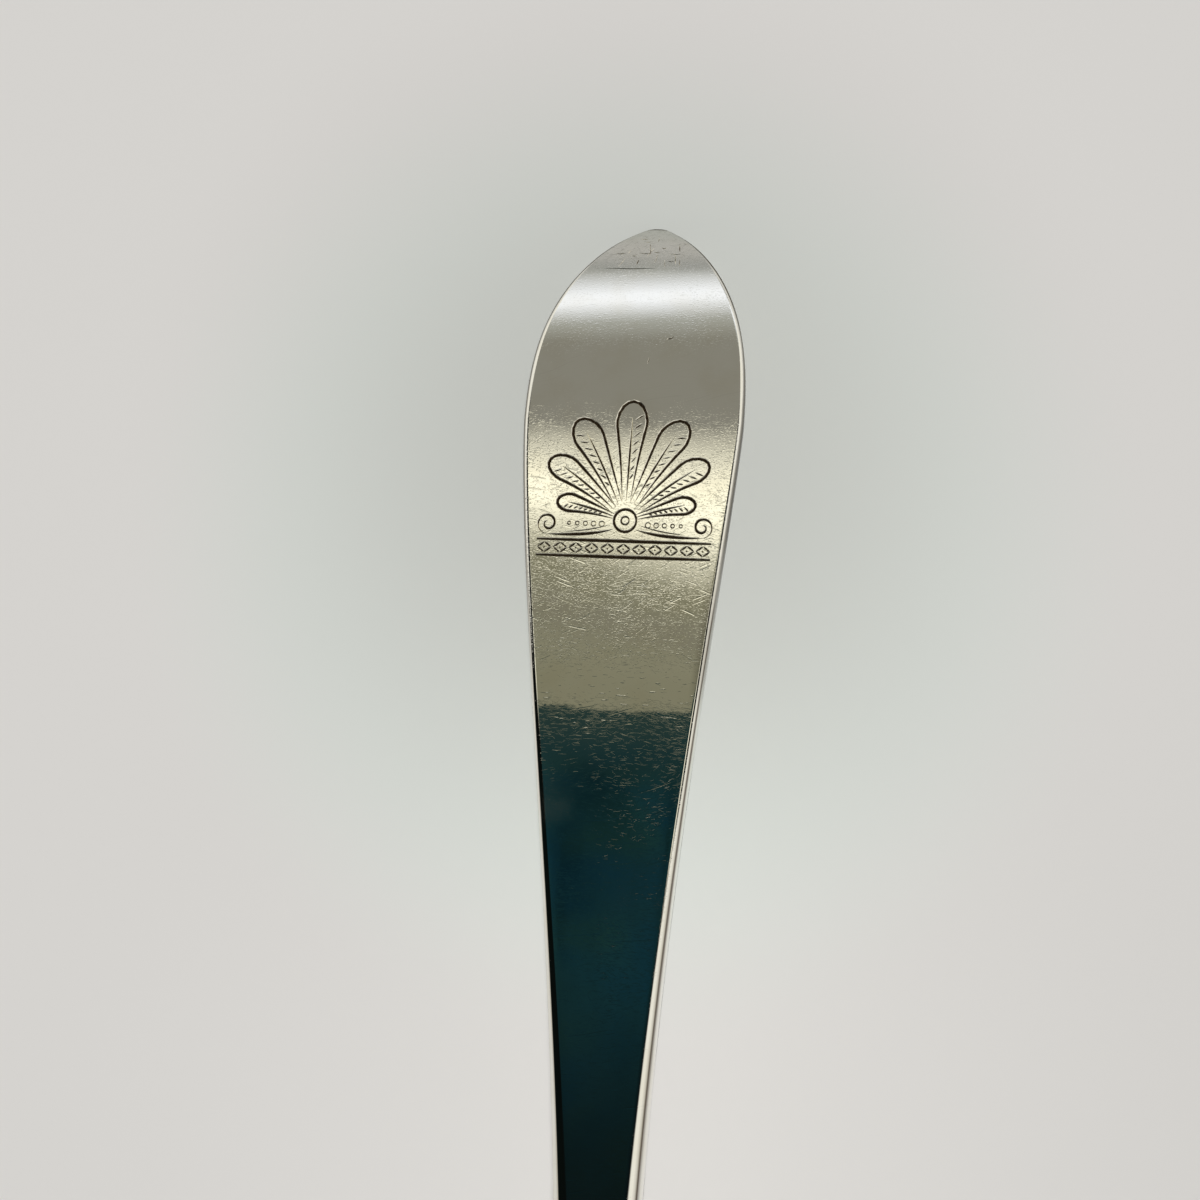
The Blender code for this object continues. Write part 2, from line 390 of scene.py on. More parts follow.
# Painted shade, a painted green cast and a painted patch of light, all in the table's colour.
tone = tinted(tone, mixed(around(PAINTED_SHADE_PLACE, PAINTED_SHADE_REACH), WHITE, PAINTED_SHADE))
tone = tinted(tone, mixed(around(PAINTED_GREEN_PLACE, PAINTED_GREEN_REACH), WHITE, PAINTED_GREEN_CAST))
on_right = axes_of(place)[0].mapped(*PAINTED_RIGHT_SHADE_REACH, 1.0, PAINTED_RIGHT_SHADE)
painted_light = around(PAINTED_LIGHT_PLACE, PAINTED_LIGHT_REACH, PAINTED_LIGHT, 1.0) * on_right
tone = Step(tree, "ShaderNodeVectorMath", {0: tone, "Scale": painted_light}, operation="SCALE")[0]
feed(shader, {"Base Color": tone, "Roughness": PAPER_ROUGHNESS})
table_mesh.materials.append(paper)
print("table", 2 * TABLE_REACH, "m across, finished with", len(tree.nodes), "nodes")

# %% Lamp
LAMP_ANGLE = radians(4.8)  # how wide it looks, which softens shadows
LAMP_POWER = 2.64  # W per square metre
TO_LAMP = Vector((tan(LEAN), -0.06, 1.0))

soft = bpy.data.lights.new("soft_lamp", "SUN")
soft.angle = LAMP_ANGLE
soft.energy = LAMP_POWER
lamp = in_scene("soft_lamp", soft)
lamp.matrix_world = TO_LAMP.to_track_quat("Z", "Y").to_matrix().to_4x4()
lamp.visible_glossy = False
print("lamp", LAMP_POWER, "W per square metre")

# %% [markdown]
# ## The silver
# Old silver is bright and slightly warm, and years of use have left fine hairlines on it, most of them
# across the handle. A picture of scratches could be laid over the metal, but a rule can draw them too: cut
# the surface into thin strips, give each strip a random number, and let it say where in the strip a
# hairline lies and where it starts and stops. One node group draws the hairlines of one direction.

# %% Node group for hairlines of one direction
BEND_SCALE, BEND = 0.12, 3.0  # how often, and by how many mm, a strip wanders
LINE_HALF_WIDTHS = (0.22, 0.04)  # foot and bed of a hairline, in strips
RUN_FADE = 0.12  # how gently a hairline starts and stops
LEAST_DEPTH, MORE_DEPTH = 0.15, 1.1
STRIP_SHIFT = 917.0  # moves the starts and stops of each strip by its own amount


def hairline_group():
    sizes = dict.fromkeys(("Turn", "Strips per mm", "Length", "Amount", "Seed"), "Float")
    group, given = new_group("hairlines", "ShaderNodeTree", {"Place": "Vector", **sizes}, {"Mark": "Float"})
    turn = {"Vector": given["Place"], "Angle": given["Turn"]}
    turned = Step(group, "ShaderNodeVectorRotate", turn, rotation_type="Z_AXIS")["Vector"]
    x, y, z = axes_of(turned)
    across = (y + noise(given["Place"], BEND_SCALE, 1.0) * BEND) * given["Strips per mm"]
    strip = across.math("FLOOR") + given["Seed"]
    chance = Step(group, "ShaderNodeTexWhiteNoise", {"W": strip}, noise_dimensions="1D")["Value"]
    middle = chance * 0.5 + 0.25  # in the middle half of its strip
    off = (across.math("FRACT") - middle).math("ABSOLUTE")
    line = off.mapped(*LINE_HALF_WIDTHS)
    inputs = {"W": x / given["Length"] + chance * STRIP_SHIFT, "Scale": 1.0, "Detail": 0.0}
    run = Step(group, "ShaderNodeTexNoise", inputs, noise_dimensions="1D")["Fac"]
    least = 1.0 - given["Amount"]
    kept = run.mapped(least, least + RUN_FADE, way="LINEAR")
    depth = chance**2.0 * MORE_DEPTH + LEAST_DEPTH
    Step(group, "NodeGroupOutput", {"Mark": line * kept * depth})
    return group


HAIRLINES = hairline_group()
print("hairline group has", len(HAIRLINES.nodes), "nodes")

# %% [markdown]
# A few sets of hairlines in different directions make up the wear. The fine ones are everywhere. The coarse
# ones, the scuffs and the small nicks change along the handle: most are where fingers and other spoons rub,
# round the ornament and below it. Profiles say how much there is at each distance from the tip.

# %% Wear along the handle
FINE = (  # turn in degrees, strips per mm, length in mm, amount, depth
    (1, 20.0, 1.1, 0.40, 0.7),
    (6, 17.0, 0.7, 0.38, 0.9),
    (-9, 15.0, 0.8, 0.37, 1.0),
    (-13, 4.0, 6.0, 0.33, 1.3),
    (-34, 13.0, 0.6, 0.35, 1.0),
    (31, 13.0, 0.7, 0.35, 1.0),
)
COARSE = (
    (14, 3.5, 2.0, 0.37, 1.0),
    (-32, 3.8, 1.7, 0.37, 1.0),
)
FINE_SEED, COARSE_SEED, SEED_STEP = 5.0, 700.0, 37.0
STEM_WEAR = {  # points of mm from the tip, amount
    "scuffs": (
        (0, 0.35), (9, 0.4), (12, 0.25), (14, 0.25), (18, 1.0), (27, 1.0),
        (31, 0.75), (33.5, 0.3), (35, 0.06), (35.8, 0.012), (116, 0.012),
    ),
    "nicks": (
        (0, 0.35), (14, 0.25), (18, 1.0), (31, 1.0), (34, 0.5), (35.3, 0.6),
        (36.2, 1.1), (37.6, 1.1), (40, 0.4), (52, 0.2), (116, 0.1),
    ),
    "fine": (
        (0, 0.4), (14, 0.3), (18, 1.0), (33, 1.0), (34.5, 0.4), (35.5, 0.12), (36.6, 0.12),
        (38, 0.35), (40, 0.7), (44, 0.9), (52, 0.7), (64, 0.5), (116, 0.2),
    ),
    "coarse": ((0, 0.0), (16.5, 0.0), (20, 0.7), (28, 0.7), (31.5, 0.3), (35.5, 0.0), (116, 0.0)),
}
EVEN_WEAR = {"scuffs": 0.25, "nicks": 0.25, "fine": 0.25, "coarse": 0.0}
SPARED_FROM_TIP, SPARED_X, SPARED = (37.5, 40.0), (0.5, -2.5), 0.6  # fewer hairlines on the left below there


def profile(value, points):
    """Amount at a place, on straight lines through points of (place, amount)."""
    stops = [(place, (amount, amount, amount, 1)) for place, amount in points]
    return ramped(value, points[0][0], points[-1][0], stops)


def scratched(place, sets, seed):
    """Depth of scratches at a place, from several sets of hairlines."""
    total = 0.0
    for number, (turn, strips, length, amount, depth) in enumerate(sets):
        inputs = {"Place": place, "Turn": radians(turn), "Strips per mm": strips, "Length": length}
        inputs.update({"Amount": amount, "Seed": SEED_STEP * number + seed})
        lines = Step(place.tree, "ShaderNodeGroup", inputs, node_tree=HAIRLINES)
        total = total + lines["Mark"] * depth
    return total


def wear_at(from_tip, across):
    """How scuffed, nicked and scratched the stem is."""
    wear = {kind: profile(from_tip, points) for kind, points in STEM_WEAR.items()}
    spared = from_tip.mapped(*SPARED_FROM_TIP) * across.mapped(*SPARED_X)
    wear["fine"] = wear["fine"] * (1.0 - spared * SPARED)
    return wear


print(len(FINE), "fine and", len(COARSE), "coarse sets of hairlines")

# %% [markdown]
# The finish itself is a metal shader. Its roughness drifts a little over the surface, and its colour drifts
# between clean silver and a faint tarnish. The tip is dull from rubbing on tables, dirt sits in some
# hairlines, and an attribute of the mesh says where the sides are darkened brown, partly by tarnish and
# partly by painted shade that stands in for the shaded table they mirror. Hammered and polished by hand,
# the surface is never quite true: slow waves bend reflections, patches of scuffs break up their edges, and
# nicks and hairlines come last. Each of these is one layer of bump on the last.

# %% Polished silver finish
CLEAN, AGED = (0.965, 0.955, 0.895, 1), (0.93, 0.91, 0.83, 1)
RUBBED, RUBBED_SHARE = (0.30, 0.30, 0.28, 1), 0.47
DIRT, DIRT_SHARE, DIRT_AT_TIP = (0.16, 0.15, 0.12, 1), 0.04, 0.45
# The colour of tarnish, also used to paint shade on the outline and sides of the stem.
TARNISH_AND_SHADE_COLOUR = (0.1, 0.073, 0.05, 1)
ROUGHER = {"hairlines": 0.015, "haze": 0.11, "tip": 0.16, "tarnish": 0.1}
HAZE_FROM_TIP = (39.0, 45.0)
WAVE_HEIGHT, RIPPLE_HEIGHT, SCUFF_HEIGHT, NICK_HEIGHT = 0.010 * MM, 0.0007 * MM, 0.0048 * MM, 0.005 * MM
FINE_DEPTH, COARSE_DEPTH = 0.0017 * MM, 0.009 * MM
WAVES, BLOTCHES = (0.16, 1.0), (0.35, 4.0)  # a noise's scale per mm and its detail
ALIKE = (1, 1, 1)  # the same on each axis
RIPPLES, PATCHES, HAZE = (1.6, 2.0, ALIKE, 73.0), (0.3, 2.0, ALIKE, 31.0), (0.15, 2.0, ALIKE, 91.0)
SPECKS, STREAKS = (1.0, 1.0, (6.5, 9.0, 9.0)), (1.0, 1.0, (1.3, 8.0, 8.0), 57.0)
EDGES = {  # of each noise, from nothing to full
    "aged": (0.42, 0.75), "patches": (0.35, 0.65), "specks": (0.54, 0.74),
    "streaks": (0.68, 0.8), "haze": (0.4, 0.7), "rough": (0.3, 0.7),
}
TIP = tip_y / MM
TIP_FADE, TIP_WANDER = 0.7, 1.5  # mm, how soft and how uneven the edge of the dull tip is
ROUGH_DRIFT = (0.8, 1.3)


def silver_colour(shader, blotch, worn, marks):
    """Feeds the colour, and gives how much tarnish and painted shade darken a place."""
    colour = mixed(blotch.mapped(*EDGES["aged"]), CLEAN, AGED)
    colour = mixed(worn * RUBBED_SHARE, colour, RUBBED)
    colour = mixed(marks * (worn * DIRT_AT_TIP + DIRT_SHARE), colour, DIRT)
    # Tarnish and painted shade, from an attribute of the mesh.
    tarnish_and_shade = Step(blotch.tree, "ShaderNodeAttribute", attribute_name="side_tarnish_and_painted_shade")["Fac"]
    feed(shader, {"Base Color": mixed(tarnish_and_shade, colour, TARNISH_AND_SHADE_COLOUR)})
    # Painted shade also dims the mirror at grazing angles.
    feed(shader, {"Specular Tint": mixed(tarnish_and_shade, WHITE, TARNISH_AND_SHADE_COLOUR)})
    return tarnish_and_shade


def silver_bump(place, wear, marks, deep):
    """Layers of bump, from slow waves to scratches, and the normal that they leave."""
    patches = noise(place, *PATCHES).mapped(*EDGES["patches"], 0.5, 1.0)
    specks = noise(place, *SPECKS).mapped(*EDGES["specks"])
    streaks = noise(place, *STREAKS).mapped(*EDGES["streaks"])
    waves = {"Height": noise(place, *WAVES), "Strength": 1.0, "Distance": WAVE_HEIGHT}
    surface = Step(place.tree, "ShaderNodeBump", waves)["Normal"]
    for height, distance, amount in (
        (noise(place, *RIPPLES), RIPPLE_HEIGHT, 1.0),
        (specks * patches, SCUFF_HEIGHT, wear["scuffs"]),
        (streaks * patches, NICK_HEIGHT, wear["nicks"]),
        (marks * patches * -1.0, FINE_DEPTH, wear["fine"]),
        (deep * -1.0, COARSE_DEPTH, wear["coarse"]),
    ):
        layer = {"Height": height * amount, "Strength": 1.0, "Distance": distance, "Normal": surface}
        surface = Step(place.tree, "ShaderNodeBump", layer)["Normal"]
    return surface


def polished_silver(name, rough=0.04, worn_tip=None):
    """Silver with hairlines. With worn_tip, it has the stem's wear, and its tip is dull for so many mm."""
    material, tree, shader = new_finish(name, 1.0)
    place = Step(tree, "ShaderNodeTexCoord")["Object"]
    place = Step(tree, "ShaderNodeMapping", {"Vector": place, "Scale": (1 / MM,) * 3})["Vector"]
    marks = scratched(place, FINE, FINE_SEED)
    full_marks = marks.math("MINIMUM", 1.0)
    blotch = noise(place, *BLOTCHES)
    worn, haze, deep, wear = 0.0, 0.0, 0.0, EVEN_WEAR
    if worn_tip is not None:
        x, y, z = axes_of(place)
        from_tip = TIP - y
        uneven = from_tip + (blotch - 0.5) * TIP_WANDER
        worn = uneven.mapped(worn_tip + TIP_FADE, worn_tip - TIP_FADE)
        wear = wear_at(from_tip, x)
        deep = scratched(place, COARSE, COARSE_SEED)
        haze = noise(place, *HAZE).mapped(*EDGES["haze"]) * from_tip.mapped(*HAZE_FROM_TIP)
    tarnish_and_shade = silver_colour(shader, blotch, worn, full_marks)
    roughness = blotch.mapped(*EDGES["rough"], *[rough * drift for drift in ROUGH_DRIFT])
    for cause, amount in (("hairlines", full_marks), ("haze", haze), ("tip", worn), ("tarnish", tarnish_and_shade)):
        roughness = roughness + amount * ROUGHER[cause]
    feed(shader, {"Roughness": roughness, "Normal": silver_bump(place, wear, marks, deep)})
    return material


stem_polish = polished_silver("stem_polish", rough=0.018, worn_tip=3.4)
print("silver of the stem has", len(stem_polish.node_tree.nodes), "nodes")

# %% [markdown]
# ## The shape of the stem
# The stem is forged from a bar, so its shape follows a few rules. Seen from the side, the front falls
# slowly at first and then turns down quickly at the tip. Seen from above, a full, pointed end tapers to a
# narrow neck. Cut across, the front is flat, and the sides and the back are rounded, more so near the bowl.
# All distances run along the spoon from the tip, as seen from above.

# %% Sizes and rules of the stem
BOWL_LENGTH = 60.0 * MM
HANDLE_LENGTH = 116.0 * MM
HEEL_HEIGHT = 11.0 * MM
TERMINAL_WIDTH = 16.7 * MM
TERMINAL_LENGTH = 15.8 * MM
TERMINAL_BELLY = 2.6
TERMINAL_POINT = 1.48
NECK_WIDTH = 5.7 * MM
NECK_FROM_TIP = 95.0 * MM
TAPER_START = 1.27
TAPER_END = 2.2
ARCH_HEIGHT = 15.5 * MM
ARCH_FROM_TIP = 72.0 * MM
TIP_TURN = 6.5 * MM
TIP_ANGLE = radians(50.0)
TIP_THICKNESS = 1.25 * MM
NECK_THICKNESS = 3.9 * MM
TIP_EDGE = 0.36 * MM
SIDE_EDGE = 0.4 * MM
NECK_EDGE = 1.95 * MM
EDGE_GROWTH = 2.6  # how late the rounding grows on its way to the neck
EDGE_LIMIT, BACK_LIMIT = 0.8, 0.9  # most that the roundings take of half the width
WALL = 0.7  # share of the thickness where the back starts to round
TIP_BACK_EDGE = 0.8 * MM
NECK_BACK_EDGE = 2.4 * MM
TIP_WEAR = 0.08 * MM
TIP_SWEEP = 0.16 / MM  # how quickly the very tip falls back on either side
SHOULDER = 2.4 * MM
SHOULDER_LENGTH = 1.5 * MM
TWISTS = ((2.6, 27, 6), (-4.3, 5, 5))  # strength per metre across, mm from the tip, breadth in mm
SOFT_EDGE, SOFT_EDGE_POWER = 0.03, 9  # how far the front turns outwards, and how close to its edge

half_tip = TIP_THICKNESS / 2
low = half_tip * cos(TIP_ANGLE)
overhang = TIP_EDGE * tan(TIP_ANGLE)
tip_height = low - overhang + hypot(low, overhang) - TIP_WEAR
far = half_tip * sin(TIP_ANGLE)
front_start = tip_y + far + TIP_EDGE - hypot(far, TIP_EDGE)
FALL = ARCH_HEIGHT - TIP_TURN - tip_height
TURN_LENGTH = TIP_TURN / (tan(TIP_ANGLE) - 3 * FALL / ARCH_FROM_TIP)


def blend(start, end, share):
    return start + (end - start) * share


def front_line(d):
    """Height and slope of the front at a distance d from the tip."""
    side = 1 - d / ARCH_FROM_TIP
    if side > 0:
        turn = TIP_TURN * exp(-d / TURN_LENGTH)
        slope = 3 * FALL / ARCH_FROM_TIP * side**2 + turn / TURN_LENGTH
        return ARCH_HEIGHT - FALL * side**3 - turn, slope
    span = HANDLE_LENGTH - ARCH_FROM_TIP
    side = (d - ARCH_FROM_TIP) / span
    rise = ARCH_HEIGHT - HEEL_HEIGHT
    return ARCH_HEIGHT - rise * side**3, -3 * rise / span * side**2


def half_width(d):
    if d < TERMINAL_LENGTH:
        left = 1 - d / TERMINAL_LENGTH
        return TERMINAL_WIDTH / 2 * (1 - left**TERMINAL_BELLY) ** (1 / TERMINAL_POINT)
    done = min(1, (d - TERMINAL_LENGTH) / (NECK_FROM_TIP - TERMINAL_LENGTH))
    return blend(NECK_WIDTH / 2, TERMINAL_WIDTH / 2, (1 - done**TAPER_START) ** TAPER_END)


def front_normal(x, y):
    """Direction that the front faces: its line, twists left by the hammer, and softened edges."""
    d = front_start - y
    edge = x / half_width(max(d, 0.5 * MM))
    twist = sum(power * exp(-(((d / MM - at) / breadth) ** 2)) for power, at, breadth in TWISTS)
    return Vector((SOFT_EDGE * edge**SOFT_EDGE_POWER, front_line(d)[1] + twist * x, 1)).normalized()


print("the front line starts", round((front_start - tip_y) / MM, 2), "mm past the tip")
print("it falls", round(FALL / MM, 2), "mm before the turn")

# %% [markdown]
# A shape with one section all along could be swept along a curve, but this section changes all the way, so
# rings of points are joined into a skin, close together at the tip and where the foot spreads into
# shoulders.

# %% Section of the stem
EDGE_STEPS = 9
FRONT_STEPS = 26
BACK_STEPS = 8


def stem_section(d):
    """Points round the stem, square to its front line."""
    height, slope = front_line(d)
    face = Vector((0, slope, 1)).normalized()
    front = Vector((0, front_start - d, height))
    share = min(1, d / NECK_FROM_TIP)
    half = half_width(d)
    thickness = blend(TIP_THICKNESS, NECK_THICKNESS, share)
    edge = min(blend(SIDE_EDGE, NECK_EDGE, share**EDGE_GROWTH), EDGE_LIMIT * half)
    back_edge = min(blend(TIP_BACK_EDGE, NECK_BACK_EDGE, share), BACK_LIMIT * half)
    middle = thickness / 2
    drop, wall = min(edge, middle), WALL * thickness
    closing = sqrt(1 - max(0, 1 - d / TIP_EDGE) ** 2)
    spread = SHOULDER / cosh((d - HANDLE_LENGTH) / SHOULDER_LENGTH - 1)
    turns = [pi / 2 * i / EDGE_STEPS for i in range(EDGE_STEPS + 1)]
    side = [(half - edge + edge * sin(turn), drop * (1 - cos(turn))) for turn in turns]
    side.append((half, (drop + wall) / 2))
    for turn in turns[1:]:
        side.append((half - back_edge + back_edge * cos(turn), blend(wall, thickness, sin(turn))))
    side = [(x, middle + (depth - middle) * closing) for x, depth in side]
    side = [(x + spread * (1 - depth / thickness) ** 2, depth) for x, depth in side]
    front_x, front_depth = side[0]
    back_x, back_depth = side[-1]
    points = list(side)
    points += [(back_x * (1 - 2 * i / BACK_STEPS), back_depth) for i in range(1, BACK_STEPS)]
    points += [(-x, depth) for x, depth in reversed(side)]
    points += [(front_x * (2 * i / FRONT_STEPS - 1), front_depth) for i in range(1, FRONT_STEPS)]
    sweep = TIP_SWEEP * exp(-d / TIP_EDGE)
    points = [front + Vector((x, -sweep * x * x, 0)) - face * depth for x, depth in points]
    return [Vector((p.x, p.y, max(p.z, 0))) for p in points]  # the tip has worn flat on the table


print("a section has", len(stem_section(TERMINAL_LENGTH)), "points")

# %% [markdown]
# The outline of the broad end and the sides of the stem are darkened. Part of it is tarnish, where a
# polishing cloth seldom reaches; part is painted shade: a dark outline and a brown line along the sides
# stand in for the shaded table that these walls mirror, and the very end is darkened as a painted contact
# shade. The back is darker too. How much is worked out for each point of a section, from the angle round
# it: 0 degrees at the front, 90 at the side and 180 at the back.

# %% Tarnish and painted shade round the stem
# Tarnish and painted shade: the dark end and outline also paint the shade where the stem meets and overhangs
# the table.
END_TARNISH_AND_SHADE, END_FROM_TIP = 0.9, (0.36 * MM, 0.28 * MM)  # on the very end
NEAR_TIP = 9 * MM  # where the outline starts to darken further in
DARK_RIGHT, DARK_LEFT, DARK_BLEND = 44, 32, 10  # degrees where the outline turns dark
DARK_AT_TIP = 0.9  # how much of those degrees the dark outline gains at the tip
OUTLINE_TARNISH_AND_SHADE, TIP_OUTLINE_TARNISH_AND_SHADE = 0.65, 0.95
SHAFT_LEFT, SHAFT_RIGHT = (24 * MM, 38 * MM), (24 * MM, 31 * MM)  # from dark outline to side line
LEFT_LINE, LEFT_LINE_DEGREES = 0.3, (60, 80)
# A painted reflection of the shaded table along the right side, partly tarnish.
RIGHT_LINE = ((24, 68, 18), (37, 57, 11), (52, 53, 12), (74, 50, 9))  # mm from the tip, degrees, breadth
RIGHT_LINE_LEAST = ((25, 0), (28, 0.3), (35, 0.3), (38, 0))  # mm from the tip, amount
# The back is darker.
BACK_DARKENING = 0.3


def ramp(value, low, high):
    """From 0 at low to 1 at high."""
    return min(1, max(0, (value - low) / (high - low)))


def right_line(d, turn):
    """The dark line along the right side, partly tarnish and partly a painted reflection of the shaded
    table; it wanders and changes in breadth.
    """
    places, degrees, breadths = zip(*RIGHT_LINE)
    off = (turn - np.interp(d / MM, places, degrees)) / np.interp(d / MM, places, breadths)
    return max(exp(-(off**2)), np.interp(d / MM, *zip(*RIGHT_LINE_LEAST)))


def tarnish(d, i):
    """How much tarnish and painted shade darken the stem at point i of its section."""
    last = 4 * EDGE_STEPS + BACK_STEPS + 2
    on_right = i < last / 2
    i = min(i, last - i)  # the section is the same on both sides
    # The very end: tarnish and painted contact shade.
    end = END_TARNISH_AND_SHADE * ramp(d, *END_FROM_TIP)
    if i < 0:
        return end  # the front
    turn = 90 * (min(i, EDGE_STEPS) + min(max(i - EDGE_STEPS - 1, 0), EDGE_STEPS)) / EDGE_STEPS
    near_tip = ramp(d, NEAR_TIP, 0)
    dark_from = (DARK_RIGHT if on_right else DARK_LEFT) * (1 - DARK_AT_TIP * near_tip)
    outline = (1 - ramp(d, *SHAFT_LEFT)) * ramp(turn, dark_from, dark_from + DARK_BLEND)
    if turn > 90:
        return max(BACK_DARKENING, outline * (1 - (turn - 90) / 90))
    if on_right:
        line = ramp(d, *SHAFT_RIGHT) * right_line(d, turn)
    else:
        line = ramp(d, *SHAFT_LEFT) * LEFT_LINE * ramp(turn, *LEFT_LINE_DEGREES)
    return max(blend(OUTLINE_TARNISH_AND_SHADE, TIP_OUTLINE_TARNISH_AND_SHADE, near_tip) * outline, line, end)


# Prints how much tarnish and painted shade darken the right side.
print("tarnish on the right side, 40 mm from the tip:", round(float(tarnish(40 * MM, EDGE_STEPS // 2)), 2))

# %% Rings of the stem joined into a skin
TIP_RINGS = 46
SHAFT_RINGS = 120
SHOULDER_RINGS = 26
FOOT_REACH = 11.0 * MM


def skin(name, rings):
    """A closed mesh through rings of equally many points."""
    count = len(rings[0])
    faces = []
    for start in range(0, (len(rings) - 1) * count, count):
        for i in range(count):
            j = (i + 1) % count
            faces.append((start + i, start + j, start + count + j, start + count + i))
    faces.append(tuple(range(count))[::-1])
    faces.append(tuple(range((len(rings) - 1) * count, len(rings) * count)))
    mesh = bpy.data.meshes.new(name)
    mesh.from_pydata([point for ring in rings for point in ring], [], faces)
    mesh.validate()
    return in_scene(name, mesh)


def spaced(start, end, count):
    return [blend(start, end, (i + 1) / count) for i in range(count)]


spread_start = HANDLE_LENGTH - 4 * SHOULDER_LENGTH
stations = [TERMINAL_LENGTH * ((i + 1) / TIP_RINGS) ** 2 for i in range(TIP_RINGS)]
stations += spaced(TERMINAL_LENGTH, spread_start, SHAFT_RINGS)
stations += spaced(spread_start, HANDLE_LENGTH + FOOT_REACH, SHOULDER_RINGS)
sections = [stem_section(d) for d in stations]
stem = skin("silver_stem", sections)
# The attribute holds tarnish and painted shade for the metal's colour.
sides = stem.data.attributes.new("side_tarnish_and_painted_shade", "FLOAT", "POINT")
sides.data.foreach_set("value", [tarnish(d, i) for d in stations for i in range(len(sections[0]))])
print("stem skin:", len(stem.data.polygons), "faces in", len(stations), "rings")

# %% [markdown]
# ## The bowl
# A silversmith sinks the bowl from a flat egg-shaped piece, hammering it into a hollow. Every ring of it is
# the same egg, drawn smaller towards the deepest place, and its height follows the arc of a curled-up side.
# Since one rule gives every point, Geometry Nodes makes the whole bowl from a flat grid: one way across the
# grid runs round the egg, and the other runs from the deepest place up the outside, over the rounded rim
# and down the inside.

# %% Sizes of the bowl and helpers for trees of shapes
BOWL_WIDTH = 38.0 * MM
BOWL_WALL = 1.0 * MM
RIM_HEIGHT = 9.6 * MM
DEEPEST_FROM_FRONT = 33.0 * MM
REST_FLAT_LENGTH = 8.0 * MM
EGG = 0.13
CURL = 0.9
EGG_SAMPLES = 400
GEOMETRY = {"Geometry": "Geometry"}  # name and type of a socket
front_y = -tip_y


def arc(share):
    return (1 - sqrt(1 - (CURL * share) ** 2)) / (1 - sqrt(1 - CURL**2))


def egg(angle):
    return sin(angle) * (1 - EGG * cos(angle))


WIDEST = max(egg(pi * i / EGG_SAMPLES) for i in range(EGG_SAMPLES + 1))


def shape_tree(name, objects, sizes):
    """A Geometry Nodes tree with named inputs for objects and sizes, and what it is given."""
    inputs = {**GEOMETRY, **dict.fromkeys(objects, "Object"), **dict.fromkeys(sizes, "Float")}
    return new_group(name, "GeometryNodeTree", inputs, GEOMETRY)


def with_finish(geometry, finish):
    return Step(geometry.tree, "GeometryNodeSetMaterial", {"Geometry": geometry, "Material": finish})[0]


def close_and_finish(shape, merged_within, finish):
    """The last steps of a tree: doubles merged, smooth shading, real geometry and a finish."""
    tree = shape.tree
    shape = Step(tree, "GeometryNodeMergeByDistance", {"Geometry": shape, "Distance": merged_within})[0]
    for kind in ("GeometryNodeSetShadeSmooth", "GeometryNodeRealizeInstances"):
        shape = Step(tree, kind, {"Geometry": shape})[0]
    Step(tree, "NodeGroupOutput", {"Geometry": with_finish(shape, finish)})


def grid_of(tree, size, round_count, up_count):
    """A square grid, and the X and Y of its points."""
    counts = {"Size X": size, "Size Y": size, "Vertices X": round_count, "Vertices Y": up_count}
    grid = Step(tree, "GeometryNodeMeshGrid", counts)["Mesh"]
    x, y, z = axes_of(Step(tree, "GeometryNodeInputPosition")[0])
    return grid, x, y


print("the egg is widest at", round(WIDEST, 3), "of its sine")

# %% [markdown]
# The tree works out the three axes of each point. A point's share says how far it is from the deepest
# place, 0, to the rim, 1. Past the rim, the egg is drawn one wall smaller and one wall higher.

# %% Bowl from a grid and a rule
RIM_SHARE = 0.03  # part of the grid that goes over the rim, on each side of its middle
RIM_CROWN = 0.3  # height of the rounded rim, in walls
ROUND_STEPS, UP_STEPS = 160, 96
BOWL_MERGE = 0.002 * MM
BOWL_SIZES = {
    "Length": BOWL_LENGTH,
    "Width": BOWL_WIDTH,
    "Wall": BOWL_WALL,
    "Rim Height": RIM_HEIGHT,
    "Heel Height": HEEL_HEIGHT,
    "Deepest": DEEPEST_FROM_FRONT,
    "Flat": REST_FLAT_LENGTH,
    "Egg": EGG,
    "Curl": CURL,
}


